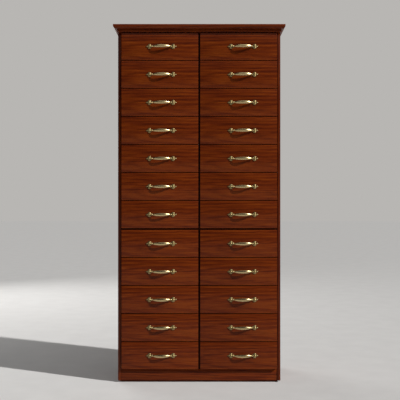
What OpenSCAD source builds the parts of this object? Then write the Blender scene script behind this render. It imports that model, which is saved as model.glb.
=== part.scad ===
// Apothecary cabinet: two columns of twelve drawers in a board carcass, with an
// ovolo-moulded top board, a recessed plinth and a cast bow pull on every drawer.
// Millimetres, +Z up, fronts towards -Y. The origin is on the floor, under the
// middle of the overall width and depth.

/* [Cabinet] */
// Height from the floor to the top of the top board
total_h = 1800; // [1600:10:2000]
// Width over the side panels
body_w = 820; // [760:10:960]
// Depth from the back to the faces of the drawers
body_d = 400; // [360:5:460]
// Thickness of the carcass boards
panel_t = 15; // [13:1:18]
// Thickness of the back panel
back_t = 5; // [3:1:6]
// How far the drawer faces stand in front of the side panels
front_proud = 14; // [10:1:16]
// Height of the glides under the side panels
glide_h = 8; // [4:1:12]

/* [Top board and frieze] */
// Overhang of the top board beyond the side panels
side_overhang = 21.5; // [18:0.5:30]
// Overhang of the top board beyond the drawer faces
front_overhang = 27; // [27:1:36]
// Height of the square fillet on the top board's edge
fillet_h = 10; // [6:1:12]
// Radius of the ovolo below the fillet
ovolo_r = 12; // [8:1:14]
// Height of the frieze strips under the top board
frieze_h = 13; // [10:1:20]

/* [Drawers] */
// Height from the floor to the lowest drawer fronts
plinth_h = 68; // [60:1:100]
// Gap between two drawer fronts, one above the other
front_gap = 3.5; // [3:0.5:5]
// Gap between the fronts in front of the fixed shelf
shelf_gap = 8.5; // [6:0.5:11]
// Gap between the two columns of fronts
centre_gap = 9.5; // [6:0.5:11]
// Gap between the fronts and the side panels
side_gap = 3; // [2:0.5:4]
// Thickness of a drawer front
front_t = 18; // [17:1:20]
// Height of a drawer's box, with its bottom
box_h = 100; // [80:1:102]
// How far a drawer pulls out
drawer_travel = 270; // [200:5:280]

/* [Bow pulls] */
// Distance between a pull's two screws
hole_pitch = 96; // [90:1:102]
// How far a pull stands out from the drawer face
pull_depth = 25; // [23:1:26]
// Height of the bow at its middle
bow_h = 16; // [12:1:18]
// Where the pull sits to the right of the middle of a left-hand front
left_pull_shift = 7.5; // [0:0.5:20]
// Where the pull sits to the right of the middle of a right-hand front
right_pull_shift = 21; // [0:0.5:24]

/* [Preview] */
// How far all the drawers are pulled out
pulled_out = 0; // [0:10:270]

/* [Hidden] */
$fn = 48;
rows = 12;
// The fixed shelf lies between these two rows, counted from the top
rows_above_shelf = 7;
// Pieces that share a node stay this far apart, as a glue line
glue = 0.1;
// Running clearance between a drawer and what it slides on or stops against
slide_gap = 0.3;

// Overall height of the top board, and of the moulded top as a whole
top_t = fillet_h + ovolo_r;
cornice_h = top_t + frieze_h;
// The fillet stands this far in front of the ovolo
quirk = 1.5;
frieze_side = 3.5;
frieze_front = 8;

// Planes from front to back
total_d = body_d + front_overhang;
face_y = front_overhang - total_d / 2;
back_y = total_d / 2;
carcass_y = face_y + front_proud;
stop_y = face_y + front_t + slide_gap;
plinth_recess = 17;
plinth_y = face_y + plinth_recess;
lining_y = back_y - back_t;

// Planes from side to side
side_x = body_w / 2;
inner_x = side_x - panel_t;
rebate_w = 8;

// Heights
top_z = total_h - top_t;
first_front_z = total_h - cornice_h - front_gap;
gaps_total = (rows - 2) * front_gap + shelf_gap;
front_h = (first_front_z - plinth_h - gaps_total) / rows;
front_w = inner_x - side_gap - centre_gap / 2;
shelf_z = row_z(rows_above_shelf) - (shelf_gap + panel_t) / 2;
floor_top_z = row_z(rows) + (panel_t - shelf_gap) / 2;
floor_z = floor_top_z - panel_t;

// A drawer's box and its runners
box_lift = 16;
box_clear = 4;
box_board_t = 12;
box_bottom_t = 5;
box_back_drop = 12;
rear_clear = 17;
runner_w = 18;
runner_h = 11.7;

// The screws
pull_screw_d = 4;
pull_screw_head_d = 8.5;
pull_screw_head_t = 3;
pull_hole_d = 5;
thread_depth = 9;

SIDES = [-1, 1];
function two_digits(n) = n < 10 ? str("0", n) : str(n);
function place(side, row) = str(side < 0 ? "left_" : "right_", two_digits(row));
function drawer_name(side, row) = str("drawer_", place(side, row));
function pull_name(side, row) = str("pull_", place(side, row));

// Height of the bottom edge of the fronts in a row, counted from the top
function row_z(row) =
    first_front_z - row * front_h - (row - 1) * front_gap
    - (row > rows_above_shelf ? shelf_gap - front_gap : 0);
function front_x(side) = side * (centre_gap + front_w) / 2;
function pull_x(side) = front_x(side) + (side < 0 ? left_pull_shift : right_pull_shift);

// A box from its lowest corner to its highest
module block(low, high) {
    translate(low)
        cube(high - low);
}

// ---- Carcass ----

// One side panel, rebated at the back for the back panel
module side_panel(side) {
    color("#4a1609")
        mirror([side < 0 ? 1 : 0, 0, 0])
            difference() {
                block([inner_x, carcass_y, glide_h], [side_x, back_y, top_z]);
                block([inner_x - 1, lining_y, floor_z], [inner_x + rebate_w, back_y + 1, top_z + 1]);
            }
}

module left_side() {
    side_panel(-1);
}

module right_side() {
    side_panel(1);
}

// The upright between the columns, in two lengths above and below the shelf
module centre_partitions() {
    spans = [[floor_top_z, shelf_z], [shelf_z + panel_t, top_z]];
    color("#43130a")
        for (span = spans)
            block([-panel_t / 2, stop_y, span[0]], [panel_t / 2, lining_y, span[1]]);
}

// Section of a moulded edge that ends at width w: fillet, quirk, ovolo
module edge_section(w) {
    ovolo_x = w - quirk - ovolo_r;
    translate([0, -fillet_h])
        square([w, fillet_h]);
    translate([0, -top_t])
        square([ovolo_x, top_t]);
    intersection() {
        translate([ovolo_x, -fillet_h])
            circle(ovolo_r);
        translate([0, -top_t])
            square([w, ovolo_r]);
    }
}

// The top board: its front edge and both ends are moulded, its back is square
module top_board() {
    half_w = side_x + side_overhang;
    color("#521a0c")
        translate([0, 0, total_h])
            intersection() {
                rotate([90, 0, -90])
                    translate([-back_y, 0, -half_w])
                        linear_extrude(2 * half_w)
                            edge_section(total_d);
                rotate([90, 0, 0])
                    linear_extrude(2 * total_d, center = true)
                        for (side = SIDES)
                            mirror([side < 0 ? 1 : 0, 0])
                                edge_section(half_w);
            }
}

// The strips under the top board: one across the front and one down each side
module frieze_strips() {
    strip_x = side_x + frieze_side;
    low_z = top_z - frieze_h;
    color("#4d190c") {
        block([-strip_x, face_y - frieze_front, low_z], [strip_x, carcass_y, top_z]);
        for (side = SIDES)
            mirror([side < 0 ? 1 : 0, 0, 0])
                block([side_x, carcass_y + glue, low_z], [strip_x, back_y, top_z]);
    }
}

// The full-width shelf that ties the carcass at the wide gap
module fixed_shelf() {
    color("#43130a")
        block([-inner_x, stop_y, shelf_z], [inner_x, lining_y, shelf_z + panel_t]);
}

module floor_board() {
    color("#43130a")
        block([-inner_x, plinth_y + panel_t, floor_z], [inner_x, lining_y, floor_top_z]);
}

module back_panel() {
    back_x = inner_x + rebate_w;
    color("#6b3a22")
        block([-back_x, lining_y, floor_z], [back_x, back_y, top_z]);
}

// The recessed board under the lowest drawers
module plinth_board() {
    top_clear = 2;
    color("#5c2310")
        block([-inner_x, plinth_y, glide_h], [inner_x, plinth_y + panel_t, plinth_h - top_clear]);
}

// Two hardwood runners for each drawer, one under each side of its box
module drawer_runners() {
    runner_lift = box_lift - slide_gap - runner_h;
    runner_y = stop_y + 2;
    color("#b98a58")
        for (side = SIDES)
            for (row = [1 : rows])
                for (x = [panel_t / 2, inner_x - runner_w])
                    mirror([side < 0 ? 1 : 0, 0, 0])
                        translate([x, runner_y, row_z(row) + runner_lift])
                            cube([runner_w, lining_y - runner_y, runner_h]);
}

// Round glides under the lower edges of the side panels
module glides() {
    glide_d = 13;
    end_inset = 40;
    spots = [carcass_y + end_inset, (carcass_y + back_y) / 2, back_y - end_inset];
    color("#1b1816")
        for (side = SIDES)
            for (y = spots)
                translate([side * (side_x - panel_t / 2), y, 0])
                    cylinder(d = glide_d, h = glide_h);
}

// Flat-headed screws, driven flush, that hold the back panel to the sides and partitions
module back_screws() {
    head_d = 7;
    head_t = 2;
    shank_d = 3;
    shank_l = 16;
    count = 9;
    end_inset = 60;
    step = (top_z - floor_top_z - 2 * end_inset) / (count - 1);
    columns = [-(inner_x + rebate_w / 2), 0, inner_x + rebate_w / 2];
    color("#8d8a84")
        for (x = columns)
            for (i = [0 : count - 1])
                translate([x, back_y - head_t, floor_top_z + end_inset + i * step])
                    rotate([-90, 0, 0]) {
                        cylinder(d = head_d, h = head_t);
                        translate([0, 0, -shank_l])
                            cylinder(d = shank_d, h = shank_l);
                    }
}

// ---- Drawers ----

// One drawer: a solid front, two sides, a back and a bottom as separate boards
module drawer(side, row) {
    low_x = panel_t / 2 + box_clear;
    high_x = inner_x - box_clear;
    front_back_y = face_y + front_t;
    box_y = front_back_y + glue;
    box_end_y = lining_y - rear_clear;
    bottom_z = row_z(row) + box_lift;
    side_z = bottom_z + box_bottom_t + glue;
    box_top_z = bottom_z + box_h;
    color("#5a1f0d")
        difference() {
            translate([front_x(side) - front_w / 2, face_y, row_z(row)])
                cube([front_w, front_t, front_h]);
            for (end = SIDES)
                translate([pull_x(side) + end * hole_pitch / 2, face_y - 1, row_z(row) + front_h / 2])
                    rotate([-90, 0, 0])
                        cylinder(d = pull_hole_d, h = front_t + 2);
        }
    color("#b07c4a")
        mirror([side < 0 ? 1 : 0, 0, 0]) {
            block([low_x, box_y, bottom_z], [high_x, box_end_y, bottom_z + box_bottom_t]);
            block([low_x, box_y, side_z], [low_x + box_board_t, box_end_y, box_top_z]);
            block([high_x - box_board_t, box_y, side_z], [high_x, box_end_y, box_top_z]);
            block([low_x + box_board_t + glue, box_end_y - box_board_t, side_z],
                  [high_x - box_board_t - glue, box_end_y, box_top_z - box_back_drop]);
        }
}

// ---- Bow pulls ----
// A pull is drawn round the middle of its two screws, with the face at y = 0.

// The bow: an arc seen from above, and leaf-shaped seen from the front
module bow() {
    bow_t = 5;
    sagitta = 16;
    half_l = hole_pitch / 2 - 1;
    arc_r = (half_l * half_l + sagitta * sagitta) / (2 * sagitta);
    end_h = 7;
    rise = (bow_h - end_h) / 2;
    leaf_r = (half_l * half_l + rise * rise) / (2 * rise);
    intersection() {
        translate([0, arc_r - pull_depth, -bow_h])
            difference() {
                cylinder(r = arc_r, h = 2 * bow_h, $fn = 180);
                translate([0, 0, -1])
                    cylinder(r = arc_r - bow_t, h = 2 * bow_h + 2, $fn = 180);
            }
        rotate([90, 0, 0])
            linear_extrude(2 * pull_depth)
                intersection() {
                    translate([0, leaf_r - bow_h / 2])
                        circle(leaf_r, $fn = 180);
                    translate([0, bow_h / 2 - leaf_r])
                        circle(leaf_r, $fn = 180);
                    square([2 * half_l, 2 * bow_h], center = true);
                }
    }
}

// A round boss along the pull's reach, at a place on its back plane
module boss(x, z, r, reach) {
    translate([x, 0, z])
        rotate([90, 0, 0])
            cylinder(r = r, h = reach);
}

// The cast end: a post and knuckle for the bow, and a three-lobed leaf outside it
module cast_end() {
    post_x = hole_pitch / 2;
    knuckle_r = 5;
    knuckle_y = 8;
    plate_t = 4;
    web_h = 6;
    web_t = 3;
    leaf_x = post_x + 12;
    lobe_rise = 7;
    tip_x = post_x + 24.5;
    boss(post_x, 0, 4.5, knuckle_y);
    boss(post_x, 0, 6.5, plate_t);
    boss(leaf_x, 0, 8.5, 5.5);
    boss(leaf_x, lobe_rise, 6, plate_t);
    boss(leaf_x, -lobe_rise, 6, plate_t);
    boss(tip_x, 0, 5, plate_t);
    translate([post_x, -knuckle_y, 0])
        sphere(knuckle_r);
    translate([post_x, -web_t, -web_h / 2])
        cube([tip_x - post_x, web_t, web_h]);
}

// One pull: the casting, tapped from behind, and the two screws that hold it
module bow_pull() {
    screw_grip = 1.5;
    color("#8f7a44")
        difference() {
            union() {
                bow();
                for (end = SIDES)
                    mirror([end < 0 ? 1 : 0, 0, 0])
                        cast_end();
            }
            for (end = SIDES)
                translate([end * hole_pitch / 2, 1, 0])
                    rotate([90, 0, 0])
                        cylinder(d = pull_screw_d + 2 * glue, h = thread_depth + 1);
        }
    color("#a8a49b")
        for (end = SIDES)
            translate([end * hole_pitch / 2, front_t, 0])
                rotate([90, 0, 0]) {
                    cylinder(d = pull_screw_d, h = front_t + thread_depth - screw_grip);
                    translate([0, 0, -pull_screw_head_t])
                        cylinder(d = pull_screw_head_d, h = pull_screw_head_t);
                }
}

module placed_pull(side, row) {
    translate([pull_x(side), face_y, row_z(row) + front_h / 2])
        bow_pull();
}

// ---- Assembly ----

left_side();
right_side();
centre_partitions();
top_board();
frieze_strips();
fixed_shelf();
floor_board();
back_panel();
plinth_board();
drawer_runners();
glides();
back_screws();
for (side = SIDES)
    for (row = [1 : rows]) {
        translate([0, -min(pulled_out, drawer_travel), 0])
                drawer(side, row);
        translate([0, -min(pulled_out, drawer_travel), 0])
                placed_pull(side, row);
    }
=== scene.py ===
# %% [markdown]
# # An apothecary cabinet
#
# A tall herb cabinet is a plain box of veneered boards with two columns of
# drawers. What makes it handsome is in the finish: red-brown rosewood veneer under a
# thin lacquer, eased edges that catch a line of light, and a small cast brass
# pull on every drawer. This lesson builds those things round a measured frame.
# The frame already holds every board at its true size, so nothing here is
# guessed: each piece takes its corners from the frame and adds what a saw, a
# plane and a foundry would have added.

# %% Load the frame
import math

import bpy
from mathutils import Matrix, Vector


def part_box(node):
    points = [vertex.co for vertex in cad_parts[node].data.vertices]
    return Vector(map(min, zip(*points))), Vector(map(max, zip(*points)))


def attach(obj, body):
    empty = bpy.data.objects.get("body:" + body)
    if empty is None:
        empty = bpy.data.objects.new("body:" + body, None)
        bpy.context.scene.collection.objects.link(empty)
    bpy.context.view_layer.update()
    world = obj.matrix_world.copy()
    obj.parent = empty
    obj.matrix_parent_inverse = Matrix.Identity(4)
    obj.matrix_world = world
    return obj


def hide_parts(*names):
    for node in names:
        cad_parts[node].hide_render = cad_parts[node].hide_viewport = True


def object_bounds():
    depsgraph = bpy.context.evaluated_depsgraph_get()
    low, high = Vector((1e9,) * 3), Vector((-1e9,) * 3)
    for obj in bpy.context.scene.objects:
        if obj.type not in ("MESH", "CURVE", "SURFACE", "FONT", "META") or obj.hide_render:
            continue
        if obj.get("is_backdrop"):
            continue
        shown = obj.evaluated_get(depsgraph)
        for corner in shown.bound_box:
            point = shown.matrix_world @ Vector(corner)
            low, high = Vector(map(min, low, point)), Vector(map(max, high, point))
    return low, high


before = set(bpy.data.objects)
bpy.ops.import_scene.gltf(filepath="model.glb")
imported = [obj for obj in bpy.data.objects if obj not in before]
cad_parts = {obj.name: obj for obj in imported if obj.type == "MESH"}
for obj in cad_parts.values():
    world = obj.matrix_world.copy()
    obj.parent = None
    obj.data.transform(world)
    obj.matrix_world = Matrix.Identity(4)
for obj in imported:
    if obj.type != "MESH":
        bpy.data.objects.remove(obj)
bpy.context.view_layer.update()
MM = 0.001
ROWS = 12
COLUMNS = ("left", "right")
PLACES = [f"{column}_{row:02d}" for column in COLUMNS for row in range(1, ROWS + 1)]

# %% [markdown]
# ## Selecting in code
#
# Modelling operators act on whatever is selected. By hand that is a click; here
# it is a test on each face, edge or corner. The frame's own nodes are selected
# after loading, so everything is deselected before a new piece is added.

# %% Selection helpers
def only(obj):
    """Makes obj the one selected and active object."""
    bpy.ops.object.select_all(action="DESELECT")
    obj.select_set(True)
    bpy.context.view_layer.objects.active = obj


def pick(obj, kind, wanted):
    """Opens obj in edit mode with only the wanted corners, edges or faces selected."""
    only(obj)
    mesh = obj.data
    for parts in (mesh.vertices, mesh.edges, mesh.polygons):
        parts.foreach_set("select", [False] * len(parts))
    if kind == "VERT":
        for corner in mesh.vertices:
            corner.select = wanted(corner.co)
    elif kind == "EDGE":
        for edge in mesh.edges:
            start, end = (mesh.vertices[i].co for i in edge.vertices)
            edge.select = wanted(start, end)
    else:
        for face in mesh.polygons:
            face.select = wanted(face.center, face.normal)
    bpy.context.tool_settings.mesh_select_mode = [kind == k for k in ("VERT", "EDGE", "FACE")]
    bpy.ops.object.mode_set(mode="EDIT")


def done():
    """Leaves edit mode and returns the object that was open."""
    bpy.ops.object.mode_set(mode="OBJECT")
    return bpy.context.object


def named(name):
    """Names the object just added, puts its place in its mesh, and returns it."""
    obj = bpy.context.object
    obj.name = name
    obj.data.name = name
    bpy.ops.object.transform_apply(location=True, rotation=True, scale=True)
    return obj


def join(name, parts):
    """Joins the parts into one piece that keeps them as loose shells."""
    only(parts[0])
    for part in parts[1:]:
        part.select_set(True)
    if len(parts) > 1:
        bpy.ops.object.join()
    parts[0].name = name
    parts[0].data.name = name
    return parts[0]


def twin(obj, name, move):
    """A copy of obj with a mesh of its own, moved by that much."""
    copy = obj.copy()
    copy.data = obj.data.copy()
    copy.data.transform(Matrix.Translation(move))
    copy.name = name
    copy.data.name = name
    bpy.context.collection.objects.link(copy)
    return copy


def soften(obj, degrees=30):
    """Shades obj smooth, except across edges sharper than this."""
    only(obj)
    bpy.ops.object.shade_smooth_by_angle(angle=math.radians(degrees))


print("helpers", [helper.__name__ for helper in (only, pick, done, named, join, twin, soften)])

# %% [markdown]
# ## Camera
#
# The camera stands four metres in front of the drawers at the height of a low
# tripod, so it looks up at the cornice and down at the plinth, and the lens is
# long enough to keep the sides out of sight.

# %% Camera
face_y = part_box("drawer_left_01")[0][1]
distance = 4.0
eye_height = 0.92
eye_x = 0.004
frame_width_at_faces = 2.013
sensor = 36.0
camera_data = bpy.data.cameras.new("camera")
camera_data.sensor_width = sensor
camera_data.lens = sensor * distance / frame_width_at_faces
camera = bpy.data.objects.new("camera", camera_data)
camera.location = (eye_x, face_y - distance, eye_height)
camera.rotation_euler = (math.radians(90), 0, 0)
bpy.context.collection.objects.link(camera)
bpy.context.scene.camera = camera
bpy.context.scene.view_settings.view_transform = "Standard"
print("lens", round(camera_data.lens, 1), "mm")

# %% [markdown]
# ## Small tools for materials
#
# A material is a tree of nodes, and a long one is hard to read when every node
# takes four lines. One function adds any node with its settings and its links.
# Colours are written as they look on a screen and turned to linear values, and the
# scale of a pattern is written as the size of its marks in millimetres.

# %% Colours and nodes
def linear(hex_colour):
    """An sRGB colour such as "#5a1f0d" as the linear numbers that a shader takes."""
    values = [int(hex_colour[i:i + 2], 16) / 255 for i in (1, 3, 5)]
    return [v / 12.92 if v <= 0.04045 else ((v + 0.055) / 1.055) ** 2.4 for v in values] + [1.0]


def per(length):
    """The scale of a pattern whose marks are this many millimetres long."""
    return 1 / (length * MM)


def add(tree, kind, inputs=None, **settings):
    """Adds a node: settings are its properties, inputs are constants or links by socket."""
    node = tree.nodes.new("ShaderNode" + kind)
    for name, value in settings.items():
        setattr(node, name, value)
    for name, value in (inputs or {}).items():
        if isinstance(value, bpy.types.NodeSocket):
            tree.links.new(value, node.inputs[name])
        else:
            node.inputs[name].default_value = value
    return node


def ramp(tree, factor, stops):
    """Adds a colour ramp through (place, colour) stops and returns its colour."""
    node = add(tree, "ValToRGB", {"Fac": factor})
    elements = node.color_ramp.elements
    while len(elements) < len(stops):
        elements.new(0.5)
    for element, (place, colour) in zip(elements, stops):
        element.position = place
        element.color = linear(colour)
    return node.outputs["Color"]


def new_material(name):
    """A material with an empty tree, and that tree."""
    material = bpy.data.materials.new(name)
    material.use_nodes = True
    material.node_tree.nodes.clear()
    return material, material.node_tree


def finish_with(tree, shader):
    """Joins the shader to the material's output."""
    add(tree, "OutputMaterial", {"Surface": shader.outputs["BSDF"]})


print("middle grey", [round(value, 3) for value in linear("#808080")])

# %% [markdown]
# ## Floor and light
#
# The cabinet stands on pale cement in a studio. A hard key light comes from the
# upper right and draws the slanting shadows of the pulls. Softboxes overhead and
# on the left lift the shadows a little, and a large one behind shows the back. The
# camera sees a plain grey backdrop, but that grey lights nothing: diffuse and glossy
# rays each get a dimmer sky, which keeps a pale film off the dark lacquer.

# %% Floor
def poured_screed():
    """Pale trowelled cement: cloudy at the size of a hand, finely sandy close to."""
    material, tree = new_material("poured_screed")
    place = add(tree, "TexCoord").outputs["Object"]
    clouds = add(tree, "TexNoise", {"Vector": place, "Scale": per(143), "Detail": 6.0}).outputs["Fac"]
    sand = add(tree, "TexNoise", {"Vector": place, "Scale": per(6.25), "Detail": 2.0}).outputs["Fac"]
    colour = ramp(tree, clouds, [(0.3, "#dbd9d6"), (0.7, "#e0dedb")])
    bump = add(tree, "Bump", {"Height": sand, "Distance": 0.2 * MM, "Strength": 0.4})
    finish_with(tree, add(tree, "BsdfPrincipled", {
        "Base Color": colour, "Roughness": 0.85, "Specular IOR Level": 0.2,
        "Normal": bump.outputs["Normal"]}))
    return material


floor_size = 60
bpy.ops.object.select_all(action="DESELECT")
bpy.ops.mesh.primitive_plane_add(size=floor_size)
floor = named("floor")
floor.data.materials.append(poured_screed())
floor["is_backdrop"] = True
print("floor", floor_size, "m square")

# %% Key light
def turn_along(path):
    """The turn that makes a light shine along a direction."""
    return path.to_track_quat("-Z", "Y").to_euler()


key_path = Vector((-1.85, 1.0, -1.36))
key_data = bpy.data.lights.new("key_light", "SUN")
key_data.energy = 3.5
key_data.angle = math.radians(1.6)
key = bpy.data.objects.new("key_light", key_data)
key.rotation_euler = turn_along(key_path)
bpy.context.collection.objects.link(key)
print("key light from", round(math.degrees(math.asin(-key_path.normalized().z))), "degrees up")

# %% Softboxes
cabinet_middle = Vector((0, 0, 0.9))


def softbox(name, place, width, height, watts):
    """A rectangular light at a place, turned to the middle of the cabinet."""
    data = bpy.data.lights.new(name, "AREA")
    data.shape = "RECTANGLE"
    data.size = width
    data.size_y = height
    data.energy = watts
    light = bpy.data.objects.new(name, data)
    light.location = place
    light.rotation_euler = turn_along(cabinet_middle - light.location)
    bpy.context.collection.objects.link(light)


softbox("overhead_softbox", (0.1, -2.3, 3.5), 3.4, 1.6, 10)
softbox("left_softbox", (-3.2, -2.6, 1.6), 1.2, 2.4, 3)
softbox("rear_softbox", (-2.6, 3.6, 2.4), 2.4, 2.4, 60)

# %% World
world = bpy.data.worlds.new("studio")
bpy.context.scene.world = world
world.use_nodes = True
sky = world.node_tree
sky.nodes.clear()
rays = add(sky, "LightPath")
backdrop = add(sky, "Background", {"Color": linear("#b8b6b3"), "Strength": 1.0})
fill = add(sky, "Background", {"Color": linear("#c4c6ca"), "Strength": 0.12})
gloss = add(sky, "Background", {"Color": linear("#c8c4be"), "Strength": 0.05})
unseen = add(sky, "MixShader", {
    0: rays.outputs["Is Glossy Ray"], 1: fill.outputs[0], 2: gloss.outputs[0]})
seen = add(sky, "MixShader", {
    0: rays.outputs["Is Camera Ray"], 1: unseen.outputs[0], 2: backdrop.outputs[0]})
add(sky, "OutputWorld", {"Surface": seen.outputs[0]})
print("world nodes", len(sky.nodes))

# %% [markdown]
# ## Rosewood veneer under lacquer
#
# A log is a stack of growth rings about its heart, pierced by long fine pores. A
# board shows them as long streaks, and as arches where it was sawn nearly flat to
# the rings. Painting that on each face would break at the edges, so the wood is a
# solid pattern instead: each board carries its place in the log as an attribute
# called grain, with x along the grain, y across it and z into the board, and the
# end grain then follows by itself. The lacquer over it is a thin clear coat, half
# gloss, that lets the pores telegraph through as a faint bump.

# %% Place in the log
# For each lay, which axis runs along the grain, which across it and which into it.
GRAIN_TURNS = {"X": (0, 2, 1), "Y": (1, 2, 0), "Z": (2, 1, 0), "X_flat": (0, 1, 2)}


def lay_grain(obj, along, log_place=(0, 0, 0)):
    """Stores each corner's place in the log. The letter is the axis the grain runs along."""
    turn = GRAIN_TURNS[along]
    places = []
    for corner in obj.data.vertices:
        places += [corner.co[axis] + shift for axis, shift in zip(turn, log_place)]
    grain = obj.data.attributes.new("grain", "FLOAT_VECTOR", "POINT")
    grain.data.foreach_set("vector", places)


print("ways to lay the grain", list(GRAIN_TURNS))

# %% The wood shader
RING_PITCH = 13 * MM
PORE_DEPTH = 0.15 * MM
VEIN_SHADE = 0.88
# At a scale of one, the wave texture's rings lie this many metres apart.
WAVE_PITCH = math.tau / 20


def wood(name, tones, matt=0.34, coat=0.0, pore_shade=0.75):
    """A solid wood. tones run from the darkest streak to the palest, matt is its mean roughness."""
    material, tree = new_material(name)
    place = add(tree, "Attribute", attribute_name="grain").outputs["Vector"]
    # The fibres wander a few millimetres over a hand's length.
    long_place = add(tree, "Mapping", {"Vector": place, "Scale": (per(200), per(45.5), per(45.5))}).outputs[0]
    sway = add(tree, "TexNoise", {"Vector": long_place, "Scale": 1.0, "Detail": 2.0}).outputs["Color"]
    sway = add(tree, "VectorMath", {0: sway, 1: (0.5, 0.5, 0.5)}, operation="SUBTRACT").outputs[0]
    sway = add(tree, "VectorMath", {0: sway, 1: (0, 6 * MM, 6 * MM)}, operation="MULTIPLY").outputs[0]
    swayed = add(tree, "VectorMath", {0: place, 1: sway}, operation="ADD").outputs[0]
    # Streaks: about 6 mm tall and 240 mm long, with finer ones inside them.
    streak_place = add(tree, "Mapping", {
        "Vector": swayed, "Scale": (per(238), per(6.25), per(6.25))}).outputs[0]
    streaks = add(tree, "TexNoise", {
        "Vector": streak_place, "Scale": 1.0, "Detail": 5.0, "Roughness": 0.74}).outputs["Fac"]
    # Rings about a heart that lies behind the board and runs a little askew to it.
    ring_place = add(tree, "Mapping", {
        "Vector": swayed, "Location": (0, 26 * MM, 60 * MM),
        "Rotation": (0, math.radians(2.6), math.radians(1.3))}).outputs[0]
    rings = add(tree, "TexWave", {
        "Vector": ring_place, "Scale": WAVE_PITCH / RING_PITCH, "Distortion": 1.6,
        "Detail": 2.0, "Detail Scale": 0.6}, wave_type="RINGS", rings_direction="X").outputs["Fac"]
    # Broad light and dark, a hand wide.
    broad_place = add(tree, "Mapping", {
        "Vector": place, "Scale": (per(588), per(91), per(91))}).outputs[0]
    broad = add(tree, "TexNoise", {"Vector": broad_place, "Scale": 1.0, "Detail": 1.0}).outputs["Fac"]
    # Pores: fine dark dashes, drawn about 2 mm tall so that they show.
    pore_place = add(tree, "Mapping", {
        "Vector": swayed, "Scale": (per(62.5), per(2.083), per(2.083))}).outputs[0]
    pores = add(tree, "TexNoise", {"Vector": pore_place, "Scale": 1.0, "Detail": 1.0}).outputs["Fac"]
    figure = add(tree, "Math", {0: rings, 1: 0.07, 2: -0.035}, operation="MULTIPLY_ADD").outputs[0]
    figure = add(tree, "Math", {0: broad, 1: 0.2, 2: figure}, operation="MULTIPLY_ADD").outputs[0]
    figure = add(tree, "Math", {0: streaks, 1: 0.95, 2: figure}, operation="MULTIPLY_ADD").outputs[0]
    stops = [(0.38, tones[0]), (0.50, tones[1]), (0.60, tones[2]), (0.74, tones[3])]
    colour = ramp(tree, figure, stops)
    pore_mask = add(tree, "MapRange", {
        "Value": pores, "From Min": 0.34, "From Max": 0.47,
        "To Min": pore_shade, "To Max": 1.0}).outputs[0]
    # The dark line that closes each ring.
    veins = add(tree, "MapRange", {
        "Value": rings, "From Min": 0.0, "From Max": 0.22,
        "To Min": VEIN_SHADE, "To Max": 1.0}).outputs[0]
    colour = add(tree, "VectorMath", {0: colour, 1: veins}, operation="MULTIPLY").outputs[0]
    colour = add(tree, "VectorMath", {0: colour, 1: pore_mask}, operation="MULTIPLY").outputs[0]
    roughness = add(tree, "MapRange", {
        "Value": streaks, "From Min": 0.3, "From Max": 0.7,
        "To Min": matt + 0.06, "To Max": matt - 0.06}).outputs[0]
    bump = add(tree, "Bump", {
        "Height": pore_mask, "Distance": PORE_DEPTH, "Strength": 0.5}).outputs["Normal"]
    finish_with(tree, add(tree, "BsdfPrincipled", {
        "Base Color": colour, "Roughness": roughness, "Normal": bump, "IOR": 1.5,
        "Specular IOR Level": 0.08, "Coat Weight": coat, "Coat Roughness": 0.16, "Coat IOR": 1.5}))
    return material


print("rings", round(RING_PITCH / MM), "mm apart")

# %% The woods of the cabinet
ROSEWOOD_TONES = ("#401103", "#5c2006", "#6a2907", "#7b370c")
CARCASS_TONES = ("#3a0f04", "#531a06", "#5f2308", "#72330f")
# The inner boards keep the wood's grain, but their tones are far darker than the carcass veneer: painted
# shade, so the gaps between the drawers read dark.
INNER_PAINTED_SHADE_TONES = ("#240a04", "#331105", "#3b1506", "#47200b")
PAULOWNIA_TONES = ("#8a5f38", "#b48a5c", "#c69f72", "#d8b68c")
BEECH_TONES = ("#9a6f45", "#b78d62", "#c69f76", "#d2b08a")
PLY_TONES = ("#4a2413", "#633520", "#75432a", "#875338")
rosewood_veneer = wood("lacquered_rosewood_veneer", ROSEWOOD_TONES, coat=0.1)
carcass_veneer = wood("lacquered_carcass_veneer", CARCASS_TONES, coat=0.1)
# Inner boards: real grain under tones darkened as painted shade for the gaps.
inner_painted_shade_veneer = wood("inner_board_painted_shade", INNER_PAINTED_SHADE_TONES, matt=0.5)
paulownia = wood("sealed_paulownia", PAULOWNIA_TONES, matt=0.62, pore_shade=0.9)
beech = wood("waxed_beech", BEECH_TONES, matt=0.5, pore_shade=0.88)
stained_ply = wood("stained_plywood", PLY_TONES, matt=0.6)
print("woods", [m.name for m in (
    rosewood_veneer, carcass_veneer, inner_painted_shade_veneer, paulownia, beech, stained_ply)])

# %% [markdown]
# ## Boards
#
# A sawn board has dead sharp arrises. Before it is finished they are eased with a
# plane or fine paper, and that small round is what catches the light along every
# edge. Each board starts as a cube between the frame's corners, and all its edges are
# then bevelled at once. The rounds are about a millimetre, and twice that on a
# drawer box's sides and back.

# %% One board
EASE = 0.8 * MM


def board(name, low, high, ease=EASE, steps=2):
    """A board between two corners, with every arris eased."""
    low, high = Vector(low), Vector(high)
    bpy.ops.object.select_all(action="DESELECT")
    bpy.ops.mesh.primitive_cube_add(size=1, location=(low + high) / 2, scale=high - low)
    obj = named(name)
    bpy.ops.object.mode_set(mode="EDIT")
    bpy.ops.mesh.select_all(action="SELECT")
    bpy.ops.mesh.bevel(offset=ease, segments=steps, affect="EDGES")
    done()
    soften(obj)
    return obj


def settle(obj, body, slot, material, *nodes):
    """Gives a finished piece its material and its body, and hides the frame's nodes that it stands for. The
    slot argument is not used.
    """
    obj.data.materials.clear()
    obj.data.materials.append(material)
    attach(obj, body)
    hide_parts(*nodes)


print("arrises eased by", round(EASE / MM, 1), "mm")

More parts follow.
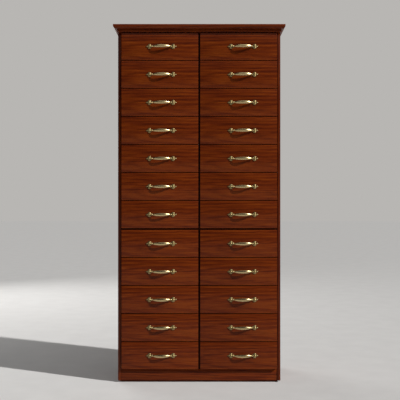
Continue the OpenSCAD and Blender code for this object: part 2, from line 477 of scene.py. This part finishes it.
# %% Sides, plinth and inner boards
for side, log_x in (("left_side", 0.3), ("right_side", 1.7)):
    low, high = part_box(side)
    panel = board(side + "_panel", low, high, ease=1.2 * MM)
    lay_grain(panel, "Z", (log_x, 0.02, 0.0))
    settle(panel, "cabinet", "lacquered_wood", carcass_veneer, side)

low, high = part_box("plinth_board")
plinth = board("plinth", low, high, ease=1 * MM)
lay_grain(plinth, "X", (0.4, 0.31, 0.0))
settle(plinth, "cabinet", "lacquered_wood", rosewood_veneer, "plinth_board")

for node, along, log_place in (
        ("fixed_shelf", "X_flat", (0.2, 0.5, 0.1)),
        ("floor_board", "X_flat", (0.9, 0.8, 0.1))):
    low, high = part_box(node)
    piece = board(node + "_plate", low, high)
    lay_grain(piece, along, log_place)
    settle(piece, "cabinet", "lacquered_wood", inner_painted_shade_veneer, node)

shelf_low, shelf_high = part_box("fixed_shelf")
part_low, part_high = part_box("centre_partitions")
uprights = [
    board("upright", part_low, (part_high[0], part_high[1], shelf_low[2])),
    board("upright_above", (part_low[0], part_low[1], shelf_high[2]), part_high)]
partitions = join("partitions", uprights)
lay_grain(partitions, "Z", (0.6, 0.1, 0.2))
settle(partitions, "cabinet", "lacquered_wood", inner_painted_shade_veneer, "centre_partitions")

# %% [markdown]
# ## The moulded top
#
# The top board ends in a square fillet with a quarter-round, an ovolo, below it:
# the oldest edge in joinery. A router runs it along the front and both ends and
# leaves the back square. Here the board grows the same way from its underside: a
# flat outline is pushed up in small steps and widened at each one, and the pivot
# lies on the back edge, so the back stays straight.

# %% Top board
TOP_FILLET = 10 * MM
TOP_OVOLO = 12 * MM
TOP_QUIRK = 1.5 * MM
OVOLO_STEPS = 8
TOP_EASE = 1 * MM
CORNER_EASE = 0.3 * MM


def top_outline():
    """(inset from the full outline, height) from the underside to the top."""
    low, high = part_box("top_board")
    inset = TOP_QUIRK + TOP_OVOLO
    points = [(inset, low[2])]
    for step in range(1, OVOLO_STEPS + 1):
        turn = math.radians(90) * step / OVOLO_STEPS
        points.append((inset - TOP_OVOLO * math.sin(turn), low[2] + TOP_OVOLO * (1 - math.cos(turn))))
    fillet_z = high[2] - TOP_FILLET
    points.append((CORNER_EASE, fillet_z))
    points.append((0.0, fillet_z + CORNER_EASE))
    points.append((0.0, high[2] - TOP_EASE))
    points.append((TOP_EASE * 0.3, high[2] - TOP_EASE * 0.3))
    points.append((TOP_EASE, high[2]))
    return low, high, points


top_low, top_high, outline = top_outline()
inset, height = outline[0]
bpy.ops.object.select_all(action="DESELECT")
bpy.ops.mesh.primitive_plane_add(
    size=1, location=(0, (top_low[1] + inset + top_high[1]) / 2, height))
top = bpy.context.object
top.scale = (2 * (top_high[0] - inset), top_high[1] - top_low[1] - inset, 1)
named("top_board_moulded")
pick(top, "FACE", lambda centre, normal: True)
for (was_inset, was_height), (inset, height) in zip(outline, outline[1:]):
    bpy.ops.mesh.extrude_region_move(TRANSFORM_OT_translate={"value": (0, 0, height - was_height)})
    wide = (top_high[0] - inset) / (top_high[0] - was_inset)
    depth = top_high[1] - top_low[1]
    deep = (depth - inset) / (depth - was_inset)
    bpy.ops.transform.resize(value=(wide, deep, 1), center_override=(0, top_high[1], height))
bpy.ops.mesh.select_all(action="SELECT")
bpy.ops.mesh.normals_make_consistent(inside=False)
done()
soften(top)
lay_grain(top, "X_flat", (0.1, 0.33, 0.0))
settle(top, "cabinet", "lacquered_wood", rosewood_veneer, "top_board")
print("top board", len(top.data.polygons), "faces")

# %% Frieze strips
GLUE = 0.1 * MM
frieze_low, frieze_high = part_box("frieze_strips")
side_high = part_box("right_side")[1]
carcass_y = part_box("right_side")[0][1]
strips = [board("frieze_front", frieze_low, (frieze_high[0], carcass_y, frieze_high[2]), ease=1 * MM)]
for end in (-1, 1):
    inner, outer = sorted((end * side_high[0], end * frieze_high[0]))
    strips.append(board(
        "frieze_side", (inner, carcass_y + GLUE, frieze_low[2]),
        (outer, frieze_high[1], frieze_high[2]), ease=0.6 * MM))
lay_grain(strips[0], "X", (0.2, 0.12, 0.0))
for strip in strips[1:]:
    lay_grain(strip, "Y", (0.5, 0.12, 0.0))
frieze = join("frieze", strips)
soften(frieze)
settle(frieze, "cabinet", "lacquered_wood", rosewood_veneer, "frieze_strips")
print("frieze", len(frieze.data.polygons), "faces")

# %% [markdown]
# ## Drawer fronts
#
# All the fronts were veneered from one flitch, so the same figure comes back on
# each of them, a little deeper into the log each time. One front is modelled for
# each column and copied. It has the two holes that the pull's screws pass through.

# %% Drilling and placing
def cut_with(obj, tool):
    """Takes the tool's shape out of obj, and the tool away."""
    only(obj)
    cut = obj.modifiers.new("cut", "BOOLEAN")
    cut.operation = "DIFFERENCE"
    cut.solver = "EXACT"
    cut.object = tool
    bpy.ops.object.modifier_apply(modifier=cut.name)
    bpy.data.objects.remove(tool)


def bore(obj, centre, radius, length):
    """Drills a round hole along Y through obj."""
    bpy.ops.object.select_all(action="DESELECT")
    bpy.ops.mesh.primitive_cylinder_add(
        vertices=24, radius=radius, depth=length, location=centre,
        rotation=(math.radians(90), 0, 0))
    cut_with(obj, named("drill"))


def pull_centre(place):
    """Where the middle of a pull lies on its drawer's face."""
    low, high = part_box("pull_" + place)
    return Vector(((low[0] + high[0]) / 2, face_y, (low[2] + high[2]) / 2))


print("first pull at", [round(v, 4) for v in pull_centre("left_01")])

# %% One front, then all of them
FRONT_T = 18 * MM
FRONT_ROUND = 1.2 * MM
SCREW_HOLE_R = 2.5 * MM
HOLE_PITCH = 96 * MM
# The log is followed this much deeper at each row, and a little deeper on the right.
ROW_SLICE = 1.3 * MM
RIGHT_SLICE = 0.4 * MM


def front_corners(place):
    """The corners of a drawer's front, which stands before its box."""
    low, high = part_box("drawer_" + place)
    return Vector(low), Vector((high[0], low[1] + FRONT_T, high[2]))


for column in COLUMNS:
    first = f"{column}_01"
    low, high = front_corners(first)
    pattern = board("front_pattern", low, high, ease=FRONT_ROUND, steps=3)
    for end in (-1, 1):
        hole = pull_centre(first) + Vector((end * HOLE_PITCH / 2, FRONT_T / 2, 0))
        bore(pattern, hole, SCREW_HOLE_R, 2 * FRONT_T)
    middle = (low + high) / 2
    for row in range(1, ROWS + 1):
        place = f"{column}_{row:02d}"
        shift = front_corners(place)[0] - low
        front = twin(pattern, "drawer_front_" + place, shift)
        deeper = row * ROW_SLICE + (RIGHT_SLICE if column == "right" else 0)
        centre = middle + shift
        lay_grain(front, "X", (-centre[0], -centre[2], -centre[1] + deeper))
        soften(front)
        settle(front, "drawer_" + place, "lacquered_wood", rosewood_veneer, "drawer_" + place)
    bpy.data.objects.remove(pattern)
print("fronts", len(PLACES))

# %% [markdown]
# ## Drawer boxes
#
# Behind each front is a light box of paulownia, the wood that herb drawers are
# lined with because it is light and keeps dry: two sides, a lower back and a thin
# bottom. The sides' top edges are rounded over, as hands pass them all day.

# %% One box's boards
BOX_BOARD_T = 12 * MM
BOX_BOTTOM_T = 5 * MM
BOX_BACK_DROP = 12 * MM
BOX_LIFT = 16 * MM
BOX_H = 100 * MM
RUNNER_CLEAR = 4 * MM


def box_boards(place):
    """(name, low, high, grain) for the four boards of a drawer's box."""
    low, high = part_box("drawer_" + place)
    part_x = part_high[0] + RUNNER_CLEAR
    wall_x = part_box("fixed_shelf")[1][0] - RUNNER_CLEAR
    near, far = (part_x, wall_x) if place.startswith("right") else (-wall_x, -part_x)
    front_y = low[1] + FRONT_T + GLUE
    bottom_z = low[2] + BOX_LIFT
    side_z = bottom_z + BOX_BOTTOM_T + GLUE
    top_z = bottom_z + BOX_H
    back_y = high[1] - BOX_BOARD_T
    return (
        ("bottom", (near, front_y, bottom_z), (far, high[1], bottom_z + BOX_BOTTOM_T), "X_flat"),
        ("near_side", (near, front_y, side_z), (near + BOX_BOARD_T, high[1], top_z), "Y"),
        ("far_side", (far - BOX_BOARD_T, front_y, side_z), (far, high[1], top_z), "Y"),
        ("back", (near + BOX_BOARD_T + GLUE, back_y, side_z),
         (far - BOX_BOARD_T - GLUE, high[1], top_z - BOX_BACK_DROP), "X"))


print("box boards", [part[0] for part in box_boards("left_01")])

# %% One box, then all of them
for column in COLUMNS:
    first = f"{column}_01"
    boards = []
    for index, (name, low, high, along) in enumerate(box_boards(first)):
        ease = 1 * MM if name == "bottom" else 2 * MM
        piece = board("box_" + name, low, high, ease=ease)
        lay_grain(piece, along, (0.3 * index, 0.17 * index, 0.05 * index))
        boards.append(piece)
    pattern = join("box_pattern", boards)
    soften(pattern)
    for row in range(1, ROWS + 1):
        place = f"{column}_{row:02d}"
        shift = front_corners(place)[0] - front_corners(first)[0]
        box = twin(pattern, "drawer_box_" + place, shift)
        settle(box, "drawer_" + place, "inner_wood", paulownia, "drawer_" + place)
    bpy.data.objects.remove(pattern)
print("boxes", len(PLACES))

# %% Runners
RUNNER_W = 18 * MM
RUNNER_H = 11.7 * MM
SLIDE_GAP = 0.3 * MM
RUNNER_TOP = BOX_LIFT - SLIDE_GAP
runner_low, runner_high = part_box("drawer_runners")
starts = (runner_low[0], -part_high[0] - RUNNER_W, part_high[0], runner_high[0] - RUNNER_W)
strips = []
for row in range(1, ROWS + 1):
    front_low = front_corners(f"left_{row:02d}")[0][2]
    for start in starts:
        strips.append(board(
            "runner", (start, runner_low[1], front_low + RUNNER_TOP - RUNNER_H),
            (start + RUNNER_W, runner_high[1], front_low + RUNNER_TOP), steps=1))
runners = join("runners", strips)
lay_grain(runners, "Y")
soften(runners)
settle(runners, "cabinet", "inner_wood", beech, "drawer_runners")
print("runners", len(strips))

# %% [markdown]
# ## The bow pulls
#
# Each pull is one brass casting: a leaf-shaped bow between two knuckles, and
# outside each knuckle a small flat leaf of three lobes that hides the fixing. The
# foundry models it in wax from simple forms pressed together, and so does this
# cell. The bow is a ring of points pushed along and resized station by station. The
# lobes are spheres drawn out to points and cut flat where they meet the wood. The
# forms are fused, and a fine remesh and a little smoothing give the melted
# junctions of a casting.

# %% Wax for the bow
BOW_STATIONS = 16
BOW_END = HOLE_PITCH / 2
BOW_R = 75 * MM
BOW_CROWN = 22.1 * MM
RIB_RISE = 0.35 * MM
RING_POINTS = 16


def bow_section(x):
    """(middle, half thickness, half height) of the bow at a distance from its centre."""
    drop = BOW_R - math.sqrt(BOW_R ** 2 - x ** 2)
    lean = BOW_R / math.sqrt(BOW_R ** 2 - x ** 2)
    swell = max(0.0, 1 - (x / BOW_END) ** 2)
    return (drop - BOW_CROWN, (1.9 + 0.5 * swell) * MM * lean, (2.4 + 5.5 * swell ** 0.8) * MM)


def make_bow():
    """The bow: a ring of points pushed along X and resized at every station."""
    bpy.ops.object.select_all(action="DESELECT")
    middle, thick, tall = bow_section(-BOW_END)
    bpy.ops.mesh.primitive_circle_add(
        vertices=RING_POINTS, radius=1, fill_type="NGON",
        location=(-BOW_END, middle, 0), rotation=(0, math.radians(90), 0))
    bow = bpy.context.object
    bow.scale = (tall, thick, 1)
    named("bow")
    pick(bow, "FACE", lambda centre, normal: True)
    was_x = -BOW_END
    for station in range(1, BOW_STATIONS + 1):
        # Stations crowd towards the ends, where the bow narrows fastest.
        x = -BOW_END * math.cos(math.pi * station / BOW_STATIONS)
        was = bow_section(was_x)
        now = bow_section(x)
        bpy.ops.mesh.extrude_region_move(
            TRANSFORM_OT_translate={"value": (x - was_x, now[0] - was[0], 0)})
        bpy.ops.transform.resize(
            value=(1, now[1] / was[1], now[2] / was[2]), center_override=(x, now[0], 0))
        was_x = x
    bpy.ops.mesh.select_all(action="SELECT")
    bpy.ops.mesh.normals_make_consistent(inside=False)
    done()
    # A raised rib runs down the middle of the front.
    pick(bow, "VERT", lambda co: abs(co.z) < 0.05 * MM and co.y < bow_section(co.x)[0])
    bpy.ops.transform.translate(value=(0, -RIB_RISE, 0))
    return done()


print("bow, half its height in mm", [
    round(bow_section(BOW_END * part / 4)[2] / MM, 1) for part in range(5)])

# %% Wax for the ends
LOBE_THIRDS = (0.2, 0.5, 0.8)


def lobe(centre, reach, width, rise, turn, sharp):
    """A petal: a sphere drawn out along +Z, turned about Y and set at centre.
    sharp is how far each third of it is drawn in towards a point."""
    bpy.ops.object.select_all(action="DESELECT")
    bpy.ops.mesh.primitive_uv_sphere_add(segments=20, ring_count=14, radius=1)
    petal = named("lobe")
    for start in LOBE_THIRDS:
        pick(petal, "VERT", lambda co: co.z > start)
        bpy.ops.transform.resize(value=(1 - sharp, 1 - sharp, 1), center_override=(0, 0, start))
        done()
    only(petal)
    petal.scale = (width / 2, rise, reach / 2)
    petal.rotation_euler = (0, turn, 0)
    petal.location = centre
    return named("lobe")


def bead(centre, radii):
    """A ball, flattened as its three radii say."""
    bpy.ops.object.select_all(action="DESELECT")
    bpy.ops.mesh.primitive_uv_sphere_add(segments=20, ring_count=14, radius=1)
    ball = bpy.context.object
    ball.scale = radii
    ball.location = centre
    return named("bead")


def stem(x):
    """The post under a knuckle: a short turned column that flares where it meets the leaf."""
    bpy.ops.object.select_all(action="DESELECT")
    bpy.ops.mesh.primitive_circle_add(
        vertices=20, radius=6.2 * MM, fill_type="NGON",
        location=(x, 0, 0), rotation=(math.radians(90), 0, 0))
    post = named("stem")
    pick(post, "FACE", lambda centre, normal: True)
    for move, grow in ((2.4, 0.92), (1.2, 0.72), (1.6, 0.94), (3.0, 1.05)):
        bpy.ops.mesh.extrude_region_move(TRANSFORM_OT_translate={"value": (0, -move * MM, 0)})
        bpy.ops.transform.resize(value=(grow, 1, grow), center_override=(x, 0, 0))
    bpy.ops.mesh.select_all(action="SELECT")
    bpy.ops.mesh.normals_make_consistent(inside=False)
    return done()


print("wax forms", [form.__name__ for form in (lobe, bead, stem)])

# %% Cast one pull
LEAF_X = 60 * MM
TIP_X = 70.4 * MM
VOXEL = 0.55 * MM


def cast_pull():
    """Fuses the wax parts, cuts them flat at the face and smooths the result."""
    wax = [make_bow()]
    for end in (-1, 1):
        outward = math.radians(90) * end
        leaf_x = end * LEAF_X
        wax.append(stem(end * BOW_END))
        wax.append(bead((end * 48.2 * MM, -8.4 * MM, 0), (4.4 * MM, 4.3 * MM, 4.9 * MM)))
        wax.append(bead((leaf_x, -1.8 * MM, 0), (7.0 * MM, 4.4 * MM, 5.8 * MM)))
        wax.append(bead((end * 53.5 * MM, -1.2 * MM, 0), (4.5 * MM, 3.0 * MM, 4.2 * MM)))
        for up, turn in ((1, 0), (-1, math.pi)):
            wax.append(lobe(
                (leaf_x - end * 0.5 * MM, -0.9 * MM, up * 7.2 * MM),
                11.4 * MM, 16.4 * MM, 4.0 * MM, turn, 0.02))
        wax.append(lobe(
            (end * TIP_X, -0.9 * MM, 0), 14.2 * MM, 8.8 * MM, 3.6 * MM, outward, 0.1))
    casting = join("casting", wax)
    only(casting)
    fuse = casting.modifiers.new("fuse", "REMESH")
    fuse.mode = "VOXEL"
    fuse.voxel_size = VOXEL
    bpy.ops.object.modifier_apply(modifier=fuse.name)
    melt = casting.modifiers.new("melt", "SMOOTH")
    melt.factor = 0.5
    melt.iterations = 4
    bpy.ops.object.modifier_apply(modifier=melt.name)
    thin = casting.modifiers.new("thin", "DECIMATE")
    thin.ratio = 0.45
    bpy.ops.object.modifier_apply(modifier=thin.name)
    pick(casting, "VERT", lambda co: True)
    bpy.ops.mesh.bisect(
        plane_co=(0, 0, 0), plane_no=(0, 1, 0), use_fill=True, clear_outer=True,
        threshold=0.0001 * MM)
    done()
    soften(casting, 60)
    return casting


casting = cast_pull()
corners = [v.co for v in casting.data.vertices]
print("pull", len(casting.data.polygons), "faces", [
    (round(min(c[i] for c in corners) / MM, 1), round(max(c[i] for c in corners) / MM, 1))
    for i in range(3)])

# %% [markdown]
# ## Antique brass
#
# The castings are tumbled, blackened in a bath and then rubbed back, so the dark
# stays in the hollows and near the wood, and the bow's crown is nearly bare metal.
# How far a point stands out from the drawer face says how much it was rubbed, so
# each pull stores that distance, and a fine noise breaks the border up. The screws
# are plain zinc-plated steel and the glides are moulded nylon.

# %% Rubbed brass
def antique_brass():
    """Brass, darkened and rubbed back: olive in the hollows, warm and bright where hands touch."""
    material, tree = new_material("antique_cast_brass")
    reach = add(tree, "Attribute", attribute_name="reach").outputs["Fac"]
    place = add(tree, "TexCoord").outputs["Object"]
    grains = add(tree, "TexNoise", {"Vector": place, "Scale": per(2.381), "Detail": 3.0}).outputs["Fac"]
    rubbed = add(tree, "Math", {0: grains, 1: 0.5, 2: reach}, operation="MULTIPLY_ADD").outputs[0]
    colour = ramp(tree, rubbed, [
        (0.22, "#6f5f3c"), (0.42, "#9d8a5f"), (0.75, "#b39e6f"), (0.92, "#c8b384")])
    roughness = add(tree, "MapRange", {
        "Value": rubbed, "From Min": 0.2, "From Max": 1.2, "To Min": 0.5, "To Max": 0.27}).outputs[0]
    pits = add(tree, "TexNoise", {"Vector": place, "Scale": per(1.111), "Detail": 1.0}).outputs["Fac"]
    bump = add(tree, "Bump", {"Height": pits, "Distance": 0.06 * MM, "Strength": 0.5})
    finish_with(tree, add(tree, "BsdfPrincipled", {
        "Base Color": colour, "Metallic": 1.0, "Roughness": roughness,
        "Normal": bump.outputs["Normal"]}))
    return material


brass = antique_brass()
print(brass.name, len(brass.node_tree.nodes), "nodes")

# %% Plated steel and nylon
def zinc_steel():
    """Zinc-plated steel: cool grey, a little cloudy from the plating bath."""
    material, tree = new_material("zinc_plated_steel")
    place = add(tree, "TexCoord").outputs["Object"]
    clouds = add(tree, "TexNoise", {"Vector": place, "Scale": per(3.333), "Detail": 3.0}).outputs["Fac"]
    colour = ramp(tree, clouds, [(0.3, "#8f8d86"), (0.7, "#b4b2ab")])
    roughness = add(tree, "MapRange", {"Value": clouds, "To Min": 0.28, "To Max": 0.5}).outputs[0]
    finish_with(tree, add(tree, "BsdfPrincipled", {
        "Base Color": colour, "Metallic": 1.0, "Roughness": roughness}))
    return material


def black_nylon():
    """Moulded nylon: near black, matt, with a fine tool texture."""
    material, tree = new_material("moulded_black_nylon")
    place = add(tree, "TexCoord").outputs["Object"]
    spark = add(tree, "TexNoise", {"Vector": place, "Scale": per(0.833), "Detail": 1.0}).outputs["Fac"]
    colour = ramp(tree, spark, [(0.3, "#171615"), (0.7, "#24221f")])
    bump = add(tree, "Bump", {"Height": spark, "Distance": 0.05 * MM, "Strength": 0.6})
    finish_with(tree, add(tree, "BsdfPrincipled", {
        "Base Color": colour, "Roughness": 0.6, "Normal": bump.outputs["Normal"]}))
    return material


steel = zinc_steel()
nylon = black_nylon()
print(steel.name, nylon.name)

# %% Pulls on every drawer
PULL_REACH = 25 * MM
reach_values = [min(1.0, max(0.0, -v.co.y / PULL_REACH)) for v in casting.data.vertices]
reach = casting.data.attributes.new("reach", "FLOAT", "POINT")
reach.data.foreach_set("value", reach_values)
for place in PLACES:
    pull = twin(casting, "bow_pull_" + place, pull_centre(place))
    settle(pull, "drawer_" + place, "antique_brass", brass, "pull_" + place)
bpy.data.objects.remove(casting)
print("pulls", len(PLACES))

# %% [markdown]
# ## Screws and glides
#
# The pull's screws have a domed head with a cross recess, and are seen only in an
# open drawer. The back panel's screws sit just below its surface, in round sinks.
# Both start as cylinders whose end face is inset and pushed out into a shank. The
# glides are short nylon discs under the sides, with a round on the edge that rubs.

# %% One screw
# The cross recess, as parts of the head's radius and height.
BLADE_LENGTH = 1.1
BLADE_WIDTH = 0.26
BLADE_DEPTH = 0.9


def screw(name, centre, head_r, head_t, shank_r, shank_l):
    """A screw along Y whose head faces the back, with a cross-shaped recess."""
    bpy.ops.object.select_all(action="DESELECT")
    bpy.ops.mesh.primitive_cylinder_add(
        vertices=24, radius=head_r, depth=head_t, location=(0, 0, head_t / 2))
    obj = named(name)
    pick(obj, "FACE", lambda mid, normal: normal.z > 0.9)
    bpy.ops.mesh.bevel(offset=head_t * 0.35, segments=3, affect="EDGES")
    done()
    pick(obj, "FACE", lambda mid, normal: normal.z < -0.9)
    bpy.ops.mesh.inset(thickness=head_r - shank_r)
    bpy.ops.mesh.extrude_region_move(TRANSFORM_OT_translate={"value": (0, 0, -shank_l)})
    done()
    for turn in (0, math.radians(90)):
        bpy.ops.object.select_all(action="DESELECT")
        bpy.ops.mesh.primitive_cube_add(
            size=1, location=(0, 0, head_t), rotation=(0, 0, turn),
            scale=(head_r * BLADE_LENGTH, head_r * BLADE_WIDTH, head_t * BLADE_DEPTH))
        cut_with(obj, named("blade"))
    only(obj)
    obj.rotation_euler = (math.radians(-90), 0, 0)
    obj.location = centre
    named(name)
    soften(obj, 35)
    return obj


print("recess", BLADE_LENGTH, "x", BLADE_WIDTH, "of the head's radius")

# %% Screws behind the pulls
HEAD_R = 4.25 * MM
HEAD_T = 3 * MM
SHANK_R = 2 * MM
SHANK_L = 17 * MM
pair = []
for end in (-1, 1):
    pair.append(screw(
        "pull_screw", (end * HOLE_PITCH / 2, FRONT_T, 0), HEAD_R, HEAD_T, SHANK_R, SHANK_L))
pattern = join("screw_pattern", pair)
for place in PLACES:
    screws = twin(pattern, "pull_screws_" + place, pull_centre(place))
    settle(screws, "drawer_" + place, "screw_steel", steel, "pull_" + place)
bpy.data.objects.remove(pattern)
print("pull screws", 2 * len(PLACES))

# %% Screws in the back
BACK_SCREW_R = 3.5 * MM
BACK_HEAD_T = 2 * MM
BACK_SUNK = 0.4 * MM
BACK_SHANK_R = 1.5 * MM
BACK_SHANK_L = 12 * MM
BACK_SCREWS = 9
low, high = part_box("back_screws")
step = (high[2] - low[2] - 2 * BACK_SCREW_R) / (BACK_SCREWS - 1)
spots = [
    (x, low[2] + BACK_SCREW_R + index * step)
    for x in (low[0] + BACK_SCREW_R, 0, high[0] - BACK_SCREW_R)
    for index in range(BACK_SCREWS)]
first = screw(
    "back_screw", (0, high[1] - BACK_HEAD_T - BACK_SUNK, 0), BACK_SCREW_R, BACK_HEAD_T,
    BACK_SHANK_R, BACK_SHANK_L)
back_screws = join("back_panel_screws", [twin(first, "back_screw", (x, 0, z)) for x, z in spots])
bpy.data.objects.remove(first)
settle(back_screws, "cabinet", "screw_steel", steel, "back_screws")
print("back screws", len(spots), "every", round(step / MM), "mm")

# %% Back panel, countersunk for them
SINK_GAP = 0.3 * MM
low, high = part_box("back_panel")
back = board("back_sheet", low, high, ease=0.6 * MM)
bpy.ops.object.select_all(action="DESELECT")
bpy.ops.mesh.primitive_cylinder_add(
    vertices=24, radius=BACK_SCREW_R + SINK_GAP, depth=2 * (BACK_HEAD_T + BACK_SUNK),
    location=(0, high[1], 0), rotation=(math.radians(90), 0, 0))
sink = named("sink")
sinks = join("sinks", [twin(sink, "sink", (x, 0, z)) for x, z in spots])
bpy.data.objects.remove(sink)
cut_with(back, sinks)
lay_grain(back, "Z")
soften(back)
settle(back, "cabinet", "back_ply", stained_ply, "back_panel")
print("back panel", len(back.data.polygons), "faces")

# %% Glides
GLIDE_R = 6.5 * MM
GLIDE_FOOT = 1.2 * MM
GLIDE_ROUND = 0.8 * MM
low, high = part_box("glides")
pads = []
for x in (low[0] + GLIDE_R, high[0] - GLIDE_R):
    for y in (low[1] + GLIDE_R, (low[1] + high[1]) / 2, high[1] - GLIDE_R):
        bpy.ops.object.select_all(action="DESELECT")
        bpy.ops.mesh.primitive_cylinder_add(
            vertices=32, radius=GLIDE_R, depth=high[2] - low[2],
            location=(x, y, (low[2] + high[2]) / 2))
        pad = named("pad")
        pick(pad, "FACE", lambda mid, normal: normal.z < -0.9)
        bpy.ops.mesh.inset(thickness=GLIDE_FOOT)
        done()
        pick(pad, "EDGE", lambda a, b: a.z < 1e-5 and b.z < 1e-5 and min(
            math.hypot(a.x - x, a.y - y), math.hypot(b.x - x, b.y - y)) > GLIDE_R * 0.95)
        bpy.ops.mesh.bevel(offset=GLIDE_ROUND, segments=3, affect="EDGES")
        pads.append(done())
glides = join("side_glides", pads)
soften(glides)
settle(glides, "cabinet", "glide_plastic", nylon, "glides")
print("glides", len(pads))

# %% Bounds of the finished scene
low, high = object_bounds()
